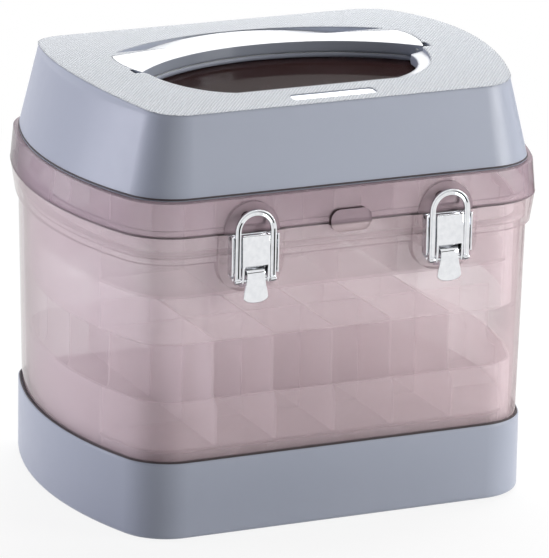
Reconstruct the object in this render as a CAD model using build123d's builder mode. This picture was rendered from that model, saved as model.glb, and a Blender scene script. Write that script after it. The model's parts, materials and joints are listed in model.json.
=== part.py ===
"""Carry case with a see-through body, a hinged lid, a folding handle and two stacked trays.

Millimetres, +Z up, front towards -Y, origin at the middle of the footprint on the floor.
The plan is flat at the front and back and bowed at the left and right.
"""

import os
from math import atan2, degrees

from build123d import *

# ---- driving dimensions ---------------------------------------------------
case_width = 265.0  # across the bowed sides, at the parting line of the lid
case_depth = 200.0  # front to back, at the parting line
side_bow = 23.4  # how far each side bulges past its own corners
corner_round = 33.7  # plan radius of the four corners at the parting line

foot_stand = 1.2  # the base hangs this far above the floor
base_rim = 42.7  # top edge of the opaque base
rim_level = 165.9  # parting line between body and lid
skirt_top = 184.0  # top of the clear band of the lid
shoulder_level = 226.0  # where the cover's side meets its top
crown_rise = 5.7  # the top is domed by this much, front to back

wall = 2.4  # clear plastic
base_wall = 1.8
base_floor = 3.0
cover_wall = 2.5
play = 0.3  # between pieces that are only set down or slid in
running = 0.06  # radial, between a pin and the piece that turns on it

# insets are measured inwards from the outline at the parting line
base_inset = 5.1
body_foot_inset = base_inset + base_wall + 0.2
body_neck_inset = 4.7
collar_height = 15.5
collar_foot_inset = 2.6
collar_inset = 0.2
ledge_drop = 12.9  # the tray ledge inside the collar, below the parting line
lip_height = 2.4
lip_inset = 3.3
lip_wall = 1.5
skirt_foot_inset = 0.3
skirt_top_inset = 2.0
cover_foot_inset = 4.0
shoulder_width_inset = 16.1
shoulder_depth_inset = 11.65
shoulder_bow = 17.8
shoulder_round = 22.0

# the base, its screws and its feet
body_floor_level = 38.2
post_radius = 7.0
screw_inset = 42.5  # screws and feet are measured in from the outline
screw_inset_y = 48.0
inner_post_x = 30.0
screw_radius = 1.9
screw_head_radius = 4.0
screw_head_height = 2.5
screw_head_level = 9.0
boss_height = 4.3
foot_inset = 54.5
foot_inset_y = 24.0
foot_radius = 8.0
foot_recess = 1.0

# trays
columns = 6
rows = 4
cell_width = 33.8
cell_depth = 43.7
divider = 1.4
divider_setback = 5.0  # the tall part of a divider stops short of the tray wall
tray_inset = 11.0
tray_wall = 1.6
tray_floor = 1.6
lower_floor_level = 46.0
lower_wall_level = 74.0
lower_divider_level = 104.5
upper_skirt_level = 105.0
upper_floor_level = 129.5
upper_wall_level = 163.0
upper_divider_level = 190.0
upper_flange = 1.7
scallop_radius = 24.0
scallop_depth = 6.0

# lid top, window, handle
pane_level = 222.4
pane = 2.0
opening_tip_x = 79.0
opening_tip_y = -20.0
opening_bend_x = 67.5
opening_bend_y = -49.5
opening_front_x = 47.0
opening_front_y = -65.0
opening_rim_level = 229.3  # outer edge of the polished band round the window
opening_band = 6.5  # that band's width, and how far it falls towards the window
opening_band_drop = 1.3
handle_tip_x = 81.0
handle_tip_y = -15.5
handle_end_x = 85.0
handle_rear_x = 83.0
handle_rear_y = 21.0
handle_grip_front = 17.8
handle_grip_rear = 32.0
handle_thickness = 6.0
handle_gap = 0.4
handle_edge = 1.2
handle_hollow = 2.6  # the grip is hollow underneath, to this depth
handle_rim = 4.0  # solid rim around that hollow
handle_pin_radius = 1.5
handle_pin_reach = 7.0
handle_boss_reach = 8.5
recess_floor = 2.3
scoop_x = 78.0
scoop_y = 28.0
scoop_rear = 55.5
scoop_deep_level = 225.6
scoop_shallow_level = 229.4
plate_width = 47.0
plate_depth = 7.6
plate_y = -77.6
plate_sink = 0.5
cover_screw_inset = 19.4  # in from the shoulder, left and right
cover_screw_inset_y = 40.4  # and front and back
cover_screw_radius = 1.4
cover_boss_radius = 3.6
cover_screw_head = 3.0

# latches
latch_x = 55.0
pad_width = 37.0
pad_drop = 31.4  # the latch's levels are all measured from the parting line
pad_corner = 15.0
pad_front = 0.6  # in front of the parting-line outline
plate_sheet = 0.8
latch_plate_width = 26.4
latch_plate_drop = 28.9
flange_depth = 5.3
flange_drop = 22.9
lever_pivot_out = 2.7  # from the pad's face to the lever's pivot
lever_pivot_drop = 1.7  # below the parting line
lever_width = 15.4
lever_sheet = 1.2
ear_rim = 0.7  # metal around the pins of a latch
lever_front_out = 7.0
lever_plate_drop = 14.8
tab_width = 11.0
tab_end_drop = 36.2
tab_end_width = 14.0
loop_width = 23.4
loop_bar = 3.0
loop_thickness = 1.8
loop_front_out = 5.9
loop_top_rise = 13.4
loop_pivot_drop = 24.4
latch_pin_radius = 1.0
rivet_drops = (19.9, 8.9)
rivet_radius = 1.3
rivet_head = 2.2
rivet_head_height = 0.5
catch_width = 31.0
catch_rise = 16.1
catch_out = 0.8
nose_width = 12.6
nose_foot_rise = 4.4
nose_top_rise = 11.1
nose_out = 4.2
thumb_width = 23.0
thumb_height = 12.0
thumb_rise = 1.4  # more of it is on the lid than on the body
thumb_round = 5.4
thumb_out = 3.2

# rear hinges
hinge_x = 62.0
hinge_drop = 1.4  # below the parting line
knuckle_radius = 3.8
knuckle_middle = 15.2
knuckle_outer = 10.0
knuckle_gap = 0.4
hinge_pin_radius = 1.5
hinge_arm = 7.5

# ---- worked out from the driving dimensions -------------------------------
half_width = case_width / 2
half_depth = case_depth / 2
screw_x = half_width - screw_inset
screw_y = half_depth - screw_inset_y
foot_x = half_width - foot_inset
foot_y = half_depth - foot_inset_y
ledge_level = rim_level - ledge_drop
collar_foot_level = rim_level - collar_height
shoulder_half_width = half_width - shoulder_width_inset
shoulder_half_depth = half_depth - shoulder_depth_inset
crown_level = shoulder_level + crown_rise
dome_edge_level = shoulder_level + 1.0
body_inner_foot = body_foot_inset + wall
body_inner_neck = body_neck_inset + wall
collar_inner = lip_inset + lip_wall
pad_face = -(half_depth + pad_front)
pad_foot_level = rim_level - pad_drop
latch_plate_foot = rim_level - latch_plate_drop
flange_foot = rim_level - flange_drop
tab_end_level = rim_level - tab_end_drop
loop_top_level = rim_level + loop_top_rise
loop_pivot_level = rim_level - loop_pivot_drop
rivet_levels = [rim_level - drop for drop in rivet_drops]
catch_top_level = rim_level + catch_rise
nose_foot_level = rim_level + nose_foot_rise
nose_top_level = rim_level + nose_top_rise
cover_screw_x = shoulder_half_width - cover_screw_inset
cover_screw_y = shoulder_half_depth - cover_screw_inset_y
tray_inner = tray_inset + tray_wall
recess_level = pane_level + 0.5
handle_level = recess_level + recess_floor + play
handle_pivot_y = handle_tip_y + handle_thickness / 2
handle_pivot_z = handle_level + handle_thickness / 2
lever_pivot_y = pad_face - lever_pivot_out
lever_pivot_z = rim_level - lever_pivot_drop
lever_front = pad_face - lever_front_out
loop_front = pad_face - loop_front_out
loop_pivot_y = loop_front + loop_thickness / 2
hinge_y = half_depth + pad_front + lever_front_out - knuckle_radius  # as far back as the latches reach forward
hinge_z = rim_level - hinge_drop
sides = {"left": -1, "right": 1}
long_places = [cell_depth * (row - rows / 2) for row in range(1, rows)]
cross_places = [cell_width * (column - columns / 2) for column in range(1, columns)]


def bow_radius(depth, bow):
    """Radius of an arc that bulges by bow between corners 2 * depth apart."""
    return (depth**2 + bow**2) / (2 * bow)


def side_reach(inset, y):
    """Distance from the middle plane to the bowed side, inset, at depth y."""
    radius = bow_radius(half_depth, side_bow)
    return half_width - radius + ((radius - inset) ** 2 - y**2) ** 0.5


def plan(level, width, depth, bow, round_corner, inset=0.0):
    """Closed plan outline: flat front and back, bowed sides, rounded corners."""
    radius = bow_radius(depth, bow)
    deep = depth - inset
    corner = width - radius + ((radius - inset) ** 2 - deep**2) ** 0.5
    with BuildSketch(Plane.XY.offset(level)) as shape:
        with BuildLine():
            Line((-corner, -deep), (corner, -deep))
            ThreePointArc((corner, -deep), (width - inset, 0), (corner, deep))
            Line((corner, deep), (-corner, deep))
            ThreePointArc((-corner, deep), (inset - width, 0), (-corner, -deep))
        make_face()
        fillet(shape.vertices(), radius=round_corner - inset)
    return shape.sketch


def case_plan(level, inset):
    """The outline of body, base and trays at one height."""
    return plan(level, half_width, half_depth, side_bow, corner_round, inset)


def cover_plan(level, inset):
    """The outline of the cover, which narrows towards its shoulder."""
    share = (level - skirt_top) / (shoulder_level - skirt_top)
    foot_width = half_width - cover_foot_inset
    foot_depth = half_depth - cover_foot_inset
    foot_round = corner_round - cover_foot_inset
    return plan(
        level,
        foot_width + share * (shoulder_half_width - foot_width),
        foot_depth + share * (shoulder_half_depth - foot_depth),
        side_bow + share * (shoulder_bow - side_bow),
        foot_round + share * (shoulder_round - foot_round),
        inset,
    )


def dome_profile(drop):
    """Side view of the domed top, lowered by drop, as a sketch on the YZ plane."""
    with BuildSketch(Plane.YZ) as side:
        with BuildLine():
            edge = dome_edge_level - drop
            ThreePointArc(
                (-shoulder_half_depth, edge), (0, crown_level - drop), (shoulder_half_depth, edge)
            )
            Line((shoulder_half_depth, edge), (half_depth, edge - 1))
            Line((half_depth, edge - 1), (half_depth, 0))
            Line((half_depth, 0), (-half_depth, 0))
            Line((-half_depth, 0), (-half_depth, edge - 1))
            Line((-half_depth, edge - 1), (-shoulder_half_depth, edge))
        make_face()
    return side.sketch


def handle_plan(level, gap):
    """Plan of the folded handle, a crescent with square ends, grown by gap."""
    with BuildSketch(Plane.XY.offset(level)) as crescent:
        with BuildLine():
            ThreePointArc(
                (-handle_tip_x, handle_tip_y), (0, handle_grip_front), (handle_tip_x, handle_tip_y)
            )
            ThreePointArc(
                (handle_tip_x, handle_tip_y), (handle_end_x, 3), (handle_rear_x, handle_rear_y)
            )
            ThreePointArc(
                (handle_rear_x, handle_rear_y), (0, handle_grip_rear), (-handle_rear_x, handle_rear_y)
            )
            ThreePointArc(
                (-handle_rear_x, handle_rear_y), (-handle_end_x, 3), (-handle_tip_x, handle_tip_y)
            )
        make_face()
        if gap:
            offset(amount=gap, kind=Kind.ARC)
    return crescent.sketch


def opening_plan(level, grow):
    """Plan of the window opening in front of the folded handle, grown by grow."""
    with BuildSketch(Plane.XY.offset(level)) as lens:
        with BuildLine():
            ThreePointArc(
                (-handle_tip_x, handle_tip_y), (0, handle_grip_front), (handle_tip_x, handle_tip_y)
            )
            Line((handle_tip_x, handle_tip_y), (opening_tip_x, opening_tip_y))
            ThreePointArc(
                (opening_tip_x, opening_tip_y),
                (opening_bend_x, opening_bend_y),
                (opening_front_x, opening_front_y),
            )
            Line((opening_front_x, opening_front_y), (-opening_front_x, opening_front_y))
            ThreePointArc(
                (-opening_front_x, opening_front_y),
                (-opening_bend_x, opening_bend_y),
                (-opening_tip_x, opening_tip_y),
            )
            Line((-opening_tip_x, opening_tip_y), (-handle_tip_x, handle_tip_y))
        make_face()
        if grow:
            offset(amount=grow, kind=Kind.ARC)
    return lens.sketch


def window_plan(level):
    """Plan of the window itself: inside the band at its front and ends, up to the handle at its rear."""
    with BuildSketch(Plane.XY.offset(level)) as window:
        add(opening_plan(0, 0))
        add(handle_plan(0, 0))
        offset(amount=-opening_band, kind=Kind.ARC)
        add(opening_plan(0, 0), mode=Mode.INTERSECT)
    return window.sketch


def scoop_plan(level, grow):
    """Plan of the finger scoop behind the folded handle, grown by grow."""
    with BuildSketch(Plane.XY.offset(level)) as scoop:
        with BuildLine():
            ThreePointArc((-scoop_x, scoop_y), (0, scoop_rear), (scoop_x, scoop_y))
            ThreePointArc((scoop_x, scoop_y), (0, handle_grip_rear - 3), (-scoop_x, scoop_y))
        make_face()
        if grow:
            offset(amount=grow, kind=Kind.ARC)
    return scoop.sketch


def bar(start, end, radius):
    """Round bar between two points, as a free solid."""
    path = Vector(*end) - Vector(*start)
    return Solid.make_cylinder(radius, path.length, Plane(origin=start, z_dir=path))


# ---- base -----------------------------------------------------------------
screw_spots = [(x, y) for x in (-screw_x, screw_x) for y in (-screw_y, screw_y)]
post_spots = screw_spots + [(x, y) for x in (-inner_post_x, inner_post_x) for y in (-screw_y, screw_y)]
base_floor_level = foot_stand + base_floor

with BuildPart() as base_shell:
    extrude(case_plan(foot_stand, base_inset), amount=base_rim - foot_stand)
    fillet(base_shell.edges().group_by(Axis.Z)[0], radius=2.0)
    fillet(base_shell.edges().group_by(Axis.Z)[-1], radius=0.6)
    extrude(
        case_plan(base_floor_level, base_inset + base_wall),
        amount=base_rim - base_floor_level,
        mode=Mode.SUBTRACT,
    )
    with BuildSketch(Plane.XY.offset(base_floor_level)):
        with Locations(post_spots):
            Circle(post_radius)
    extrude(amount=body_floor_level - base_floor_level)
    with BuildSketch(Plane.XY.offset(foot_stand)):
        with Locations(screw_spots):
            Circle(screw_radius + 0.1)
    extrude(amount=body_floor_level - foot_stand, mode=Mode.SUBTRACT)
    with BuildSketch(Plane.XY.offset(foot_stand)):
        with Locations(screw_spots):
            Circle(screw_head_radius + play)
    extrude(amount=screw_head_level - foot_stand, mode=Mode.SUBTRACT)
    with BuildSketch(Plane.XY.offset(foot_stand)):
        with GridLocations(2 * foot_x, 2 * foot_y, 2, 2):
            Circle(foot_radius)
    extrude(amount=foot_recess, mode=Mode.SUBTRACT)

foot_names = {"front_left": (-1, -1), "front_right": (1, -1), "rear_left": (-1, 1), "rear_right": (1, 1)}
feet = {}
for place, (across, along) in foot_names.items():
    with BuildPart() as foot:
        with BuildSketch(Plane.XY):
            with Locations((across * foot_x, along * foot_y)):
                Circle(foot_radius)
        extrude(amount=foot_stand + foot_recess)
        fillet(foot.edges().group_by(Axis.Z)[0], radius=0.5)
    feet["foot_" + place] = foot

screw_top = body_floor_level + wall + boss_height - 0.6
with BuildPart() as base_screws:
    with BuildSketch(Plane.XY.offset(screw_head_level - screw_head_height)):
        with Locations(screw_spots):
            Circle(screw_head_radius)
            RegularPolygon(radius=1.6, side_count=6, mode=Mode.SUBTRACT)
    extrude(amount=screw_head_height)
    with BuildSketch(Plane.XY.offset(screw_head_level - 0.6)):
        with Locations(screw_spots):
            Circle(screw_radius)
    extrude(amount=screw_top - screw_head_level + 0.6)

# ---- clear body -----------------------------------------------------------
hinge_spots = [side * hinge_x for side in sides.values()]
outer_knuckle_shift = knuckle_middle / 2 + knuckle_gap + knuckle_outer / 2
body_knuckles = [x + shift for x in hinge_spots for shift in (-outer_knuckle_shift, outer_knuckle_shift)]

with BuildPart() as body_shell:
    loft([case_plan(body_floor_level, body_foot_inset).face(),
          case_plan(collar_foot_level, body_neck_inset).face()], ruled=True)
    loft([case_plan(collar_foot_level, collar_foot_inset).face(),
          case_plan(rim_level, collar_inset).face()], ruled=True)
    extrude(case_plan(rim_level, lip_inset), amount=lip_height)
    for side in sides.values():
        with BuildSketch(Plane.XZ.offset(half_depth - body_neck_inset - 2)) as pad:
            with Locations((side * latch_x, (pad_foot_level + rim_level) / 2)):
                Rectangle(pad_width, rim_level - pad_foot_level)
            fillet(pad.vertices().group_by(Axis.Y)[0], radius=pad_corner)
        extrude(amount=body_neck_inset + 2 + pad_front)
    with BuildSketch(Plane.XZ.offset(half_depth - 2)):
        with Locations((0, rim_level + thumb_rise)):
            RectangleRounded(thumb_width, thumb_height, thumb_round)
        with Locations((0, rim_level)):
            Rectangle(thumb_width, thumb_height, align=(Align.CENTER, Align.MIN), mode=Mode.SUBTRACT)
    extrude(amount=thumb_out + 2)
    loft([case_plan(body_floor_level + wall, body_inner_foot).face(),
          case_plan(ledge_level, body_inner_neck).face()], ruled=True, mode=Mode.SUBTRACT)
    extrude(
        case_plan(ledge_level, collar_inner), amount=ledge_drop + lip_height, mode=Mode.SUBTRACT
    )
    with BuildSketch(Plane.XY.offset(body_floor_level)):
        with Locations(screw_spots):
            Circle(screw_radius + 2.6)
    extrude(amount=wall + boss_height)
    with BuildSketch(Plane.XY.offset(body_floor_level)):
        with Locations(screw_spots):
            Circle(screw_radius)
    extrude(amount=screw_top - body_floor_level, mode=Mode.SUBTRACT)
    for x in body_knuckles:
        with BuildSketch(Plane.YZ.offset(x - knuckle_outer / 2)):
            with Locations((hinge_y, hinge_z)):
                Circle(knuckle_radius)
            with BuildLine():
                Polyline(
                    (half_depth - 3, hinge_z - hinge_arm - 2),
                    (half_depth - 3, hinge_z),
                    (hinge_y + knuckle_radius, hinge_z),
                    (hinge_y + knuckle_radius, hinge_z - 2),
                    close=True,
                )
            make_face()
        extrude(amount=knuckle_outer)
    for x in hinge_spots:
        with BuildSketch(Plane.YZ.offset(x - 30)):
            with Locations((hinge_y, hinge_z)):
                Circle(hinge_pin_radius)
        extrude(amount=60, mode=Mode.SUBTRACT)
    for side in sides.values():
        for level in rivet_levels:
            start = (side * latch_x, pad_face, level)
            end = (side * latch_x, pad_face + 5, level)
            add(bar(start, end, rivet_radius), mode=Mode.SUBTRACT)

# ---- lid shell ------------------------------------------------------------
lid_gap = cover_wall + 0.4
lid_inner = lid_gap + pane

with BuildPart() as lid_shell:
    loft([case_plan(rim_level, skirt_foot_inset).face(),
          case_plan(skirt_top, skirt_top_inset).face()], ruled=True)
    fillet(lid_shell.edges().group_by(Axis.Z)[-1], radius=0.9)
    loft([cover_plan(skirt_top, lid_gap).face(), cover_plan(pane_level, lid_gap).face()], ruled=True)
    for side in sides.values():
        with BuildSketch(Plane.XZ.offset(half_depth - 4)):
            with Locations((side * latch_x, catch_top_level - catch_width / 2)):
                Circle(catch_width / 2)
            with Locations((side * latch_x, rim_level)):
                Rectangle(catch_width + 4, catch_width, align=(Align.CENTER, Align.MAX), mode=Mode.SUBTRACT)
        extrude(amount=catch_out + 4)
        with BuildSketch(Plane.XZ.offset(half_depth - 4)) as nose:
            with Locations((side * latch_x, (nose_foot_level + nose_top_level) / 2)):
                Rectangle(nose_width, nose_top_level - nose_foot_level)
            fillet(nose.vertices().group_by(Axis.Y)[-1], radius=3.0)
        extrude(amount=nose_out + 3.6)
    with BuildSketch(Plane.XZ.offset(half_depth - 2)):
        with Locations((0, rim_level + thumb_rise)):
            RectangleRounded(thumb_width, thumb_height, thumb_round)
        with Locations((0, rim_level)):
            Rectangle(thumb_width, thumb_height, align=(Align.CENTER, Align.MAX), mode=Mode.SUBTRACT)
    extrude(amount=thumb_out + 2)
    for x in hinge_spots:
        with BuildSketch(Plane.YZ.offset(x - knuckle_middle / 2)):
            with Locations((hinge_y, hinge_z)):
                Circle(knuckle_radius)
            with BuildLine():
                Polyline(
                    (half_depth - 3, rim_level + 0.4),
                    (half_depth - 3, rim_level + hinge_arm),
                    (hinge_y + knuckle_radius, hinge_z + 2),
                    (hinge_y + knuckle_radius, hinge_z),
                    (hinge_y, rim_level + 0.4),
                    close=True,
                )
            make_face()
        extrude(amount=knuckle_middle)
        with BuildSketch(Plane.YZ.offset(x - 30)):
            with Locations((hinge_y, hinge_z)):
                Circle(hinge_pin_radius + running)
        extrude(amount=60, mode=Mode.SUBTRACT)
    loft([case_plan(rim_level, skirt_foot_inset + wall).face(),
          case_plan(skirt_top - 1.6, skirt_top_inset + wall).face()], ruled=True, mode=Mode.SUBTRACT)
    loft([cover_plan(skirt_top - 1.6, lid_inner).face(),
          cover_plan(pane_level - pane, lid_inner).face()], ruled=True, mode=Mode.SUBTRACT)
    with BuildSketch(Plane.XY.offset(pane_level - pane)):
        with GridLocations(2 * cover_screw_x, 2 * cover_screw_y, 2, 2):
            Circle(cover_screw_radius + 0.2)
    extrude(amount=pane, mode=Mode.SUBTRACT)

# ---- cover ----------------------------------------------------------------
with BuildPart() as handle_bed:
    extrude(handle_plan(recess_level, 3.0), amount=crown_level - recess_level)
    extrude(opening_plan(recess_level, 3.0), amount=crown_level - recess_level)
    extrude(scoop_plan(recess_level, 3.0), amount=crown_level - recess_level)
    with BuildSketch(Plane.XY.offset(recess_level)):
        with Locations((0, handle_pivot_y)):
            Rectangle(2 * (handle_end_x + handle_boss_reach), 13)
    extrude(amount=crown_level - recess_level)

with BuildPart() as cover_hollow:
    loft([cover_plan(skirt_top, cover_wall).face(), cover_plan(shoulder_level, cover_wall).face()], ruled=True)
    extrude(cover_plan(shoulder_level, cover_wall), amount=crown_rise)
    extrude(dome_profile(cover_wall), amount=half_width, both=True, mode=Mode.INTERSECT)
    add(handle_bed.part, mode=Mode.SUBTRACT)
    with BuildSketch(Plane.XY.offset(pane_level)):
        with GridLocations(2 * cover_screw_x, 2 * cover_screw_y, 2, 2):
            Circle(cover_boss_radius)
    extrude(amount=crown_level - pane_level, mode=Mode.SUBTRACT)

with BuildPart() as scoop_cut:
    extrude(scoop_plan(recess_level, 0), amount=crown_level + 1 - recess_level)
    with BuildSketch(Plane.YZ):
        with BuildLine():
            Polyline(
                (handle_grip_rear - 12, 0),
                (handle_grip_rear - 12, scoop_deep_level),
                (handle_grip_rear + 2, scoop_deep_level),
                (scoop_rear, scoop_shallow_level),
                (scoop_rear + 2, 0),
                close=True,
            )
        make_face()
    extrude(amount=half_width, both=True, mode=Mode.SUBTRACT)

with BuildPart() as lid_cover:
    loft([cover_plan(skirt_top, 0).face(), cover_plan(shoulder_level, 0).face()], ruled=True)
    extrude(cover_plan(shoulder_level, 0), amount=crown_rise)
    extrude(dome_profile(0), amount=half_width, both=True, mode=Mode.INTERSECT)
    add(cover_hollow.part, mode=Mode.SUBTRACT)
    with BuildSketch(Plane.XY.offset(pane_level)):
        with GridLocations(2 * cover_screw_x, 2 * cover_screw_y, 2, 2):
            Circle(cover_screw_radius)
    extrude(amount=shoulder_level - pane_level - 0.5, mode=Mode.SUBTRACT)
    extrude(opening_plan(opening_rim_level, 0), amount=crown_rise, mode=Mode.SUBTRACT)
    extrude(
        opening_plan(opening_rim_level, 0),
        amount=-opening_band_drop,
        taper=degrees(atan2(opening_band, opening_band_drop)),
        mode=Mode.SUBTRACT,
    )
    extrude(window_plan(pane_level), amount=crown_level - pane_level, mode=Mode.SUBTRACT)
    extrude(handle_plan(handle_level - play, handle_gap), amount=handle_thickness + 3, mode=Mode.SUBTRACT)
    add(scoop_cut.part, mode=Mode.SUBTRACT)
    for side in sides.values():
        start = (side * (handle_tip_x - 8), handle_pivot_y, handle_pivot_z)
        end = (side * (handle_end_x + handle_gap), handle_pivot_y, handle_pivot_z)
        add(bar(start, end, handle_thickness / 2 + 1.8), mode=Mode.SUBTRACT)
        pin_end = (side * (handle_end_x + handle_boss_reach - 1), handle_pivot_y, handle_pivot_z)
        add(bar(start, pin_end, handle_pin_radius), mode=Mode.SUBTRACT)
    plate_base_level = dome_edge_level - 0.7
    with BuildSketch(Plane.XY.offset(plate_base_level)) as plate_recess:
        with Locations((0, plate_y)):
            Rectangle(plate_width + 0.4, plate_depth + 0.4)
        fillet(plate_recess.vertices(), radius=2.2)
    extrude(amount=crown_rise, mode=Mode.SUBTRACT)

with BuildPart() as name_plate:
    with BuildSketch(Plane.XY.offset(plate_base_level)) as plate_shape:
        with Locations((0, plate_y)):
            Rectangle(plate_width, plate_depth)
        fillet(plate_shape.vertices(), radius=2.0)
    extrude(amount=crown_rise)
    extrude(dome_profile(plate_sink), amount=half_width, both=True, mode=Mode.INTERSECT)

with BuildPart() as cover_screws:
    with BuildSketch(Plane.XY.offset(pane_level - pane)):
        with GridLocations(2 * cover_screw_x, 2 * cover_screw_y, 2, 2):
            Circle(cover_screw_head)
    extrude(amount=-1.6)
    with BuildSketch(Plane.XY.offset(pane_level - pane - 0.5)):
        with GridLocations(2 * cover_screw_x, 2 * cover_screw_y, 2, 2):
            Circle(cover_screw_radius)
    extrude(amount=shoulder_level - pane_level + pane)

# ---- handle ---------------------------------------------------------------
with BuildPart() as handle:
    extrude(handle_plan(handle_level, 0), amount=crown_level - handle_level)
    extrude(dome_profile(0), amount=half_width, both=True, mode=Mode.INTERSECT)
    fillet(handle.edges().group_by(Axis.Z)[0], radius=handle_edge)
    with BuildSketch(Plane.XY.offset(handle_level)):
        add(handle_plan(0, -handle_rim))
        with Locations((0, handle_grip_rear / 2)):
            Rectangle(2 * (handle_end_x - handle_pin_reach) - 12, case_depth, mode=Mode.INTERSECT)
    extrude(amount=handle_hollow, mode=Mode.SUBTRACT)
    for side in sides.values():
        start = (side * (handle_end_x - handle_pin_reach - running), handle_pivot_y, handle_pivot_z)
        end = (side * (handle_end_x + 1), handle_pivot_y, handle_pivot_z)
        add(bar(start, end, handle_pin_radius + running), mode=Mode.SUBTRACT)

handle_pins = {}
for name, side in sides.items():
    with BuildPart() as handle_pin:
        start = (side * (handle_end_x - handle_pin_reach), handle_pivot_y, handle_pivot_z)
        end = (side * (handle_end_x + handle_boss_reach - 1), handle_pivot_y, handle_pivot_z)
        add(bar(start, end, handle_pin_radius))
    handle_pins["handle_pin_" + name] = handle_pin

# ---- trays ----------------------------------------------------------------
with BuildPart() as lower_tray:
    foot_level = body_floor_level + wall + play
    extrude(case_plan(foot_level, tray_inset), amount=lower_wall_level - foot_level)
    fillet(lower_tray.edges().group_by(Axis.Z)[-1], radius=0.5)
    extrude(case_plan(foot_level, tray_inner), amount=lower_floor_level - foot_level, mode=Mode.SUBTRACT)
    extrude(
        case_plan(lower_floor_level + tray_floor, tray_inner),
        amount=lower_wall_level - lower_floor_level - tray_floor,
        mode=Mode.SUBTRACT,
    )

with BuildPart() as upper_tray:
    extrude(case_plan(upper_skirt_level, tray_inset), amount=upper_wall_level - upper_skirt_level)
    extrude(case_plan(ledge_level + play, collar_inner + 0.5), amount=upper_flange)
    extrude(
        case_plan(upper_skirt_level, tray_inner),
        amount=upper_floor_level - upper_skirt_level,
        mode=Mode.SUBTRACT,
    )
    extrude(
        case_plan(upper_floor_level + tray_floor, tray_inner),
        amount=upper_wall_level - upper_floor_level - tray_floor,
        mode=Mode.SUBTRACT,
    )


def divider_face(plane, reach, foot, wall_top, top):
    """A divider's side view: full width up to the tray wall, set back above it."""
    high = reach - divider_setback
    with BuildSketch(plane) as view:
        with BuildLine():
            Polyline((-reach, foot), (reach, foot), (reach, wall_top - divider_setback))
            ThreePointArc(
                (reach, wall_top - divider_setback),
                (reach - 0.7 * divider_setback, wall_top - 0.7 * divider_setback + 1),
                (high, wall_top + 1),
            )
            Polyline((high, wall_top + 1), (high, top), (-high, top), (-high, wall_top + 1))
            ThreePointArc(
                (-high, wall_top + 1),
                (-reach + 0.7 * divider_setback, wall_top - 0.7 * divider_setback + 1),
                (-reach, wall_top - divider_setback),
            )
            Line((-reach, wall_top - divider_setback), (-reach, foot))
        make_face()
    return view.sketch


def long_dividers(foot, wall_top, top, scalloped):
    """Dividers that run left to right, slotted from above for the cross ones."""
    with BuildPart() as group:
        for y in long_places:
            reach = side_reach(tray_inner + play, abs(y) + divider / 2)
            extrude(divider_face(Plane.XZ.offset(-y), reach, foot, wall_top, top), amount=divider / 2, both=True)
        half = (foot + top) / 2
        with BuildSketch(Plane.XY.offset(half)):
            with Locations([(x, 0) for x in cross_places]):
                Rectangle(divider + play, case_depth)
        extrude(amount=top - half, mode=Mode.SUBTRACT)
        if scalloped:
            with BuildSketch(Plane.XZ):
                with Locations([(x + cell_width / 2, top + scallop_radius - scallop_depth)
                                for x in cross_places[:-1]]):
                    Circle(scallop_radius)
            extrude(amount=case_depth / 2, both=True, mode=Mode.SUBTRACT)
    return group


def cross_dividers(foot, wall_top, top, scalloped):
    """Dividers that run front to back, slotted from below for the long ones."""
    with BuildPart() as group:
        reach = half_depth - tray_inner - play
        for x in cross_places:
            extrude(divider_face(Plane.YZ.offset(x), reach, foot, wall_top, top), amount=divider / 2, both=True)
        half = (foot + top) / 2
        with BuildSketch(Plane.XY.offset(foot)):
            with Locations([(0, y) for y in long_places]):
                Rectangle(case_width, divider + play)
        extrude(amount=half - foot, mode=Mode.SUBTRACT)
        if scalloped:
            with BuildSketch(Plane.YZ):
                with Locations([(y + cell_depth / 2, top + scallop_radius - scallop_depth)
                                for y in long_places[:-1]]):
                    Circle(scallop_radius)
            extrude(amount=case_width / 2, both=True, mode=Mode.SUBTRACT)
    return group


lower_foot = lower_floor_level + tray_floor
upper_foot = upper_floor_level + tray_floor
dividers = {
    "lower_long_dividers": long_dividers(lower_foot, lower_wall_level, lower_divider_level, False),
    "lower_cross_dividers": cross_dividers(lower_foot, lower_wall_level, lower_divider_level, False),
    "upper_long_dividers": long_dividers(upper_foot, upper_wall_level, upper_divider_level, True),
    "upper_cross_dividers": cross_dividers(upper_foot, upper_wall_level, upper_divider_level, True),
}

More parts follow.
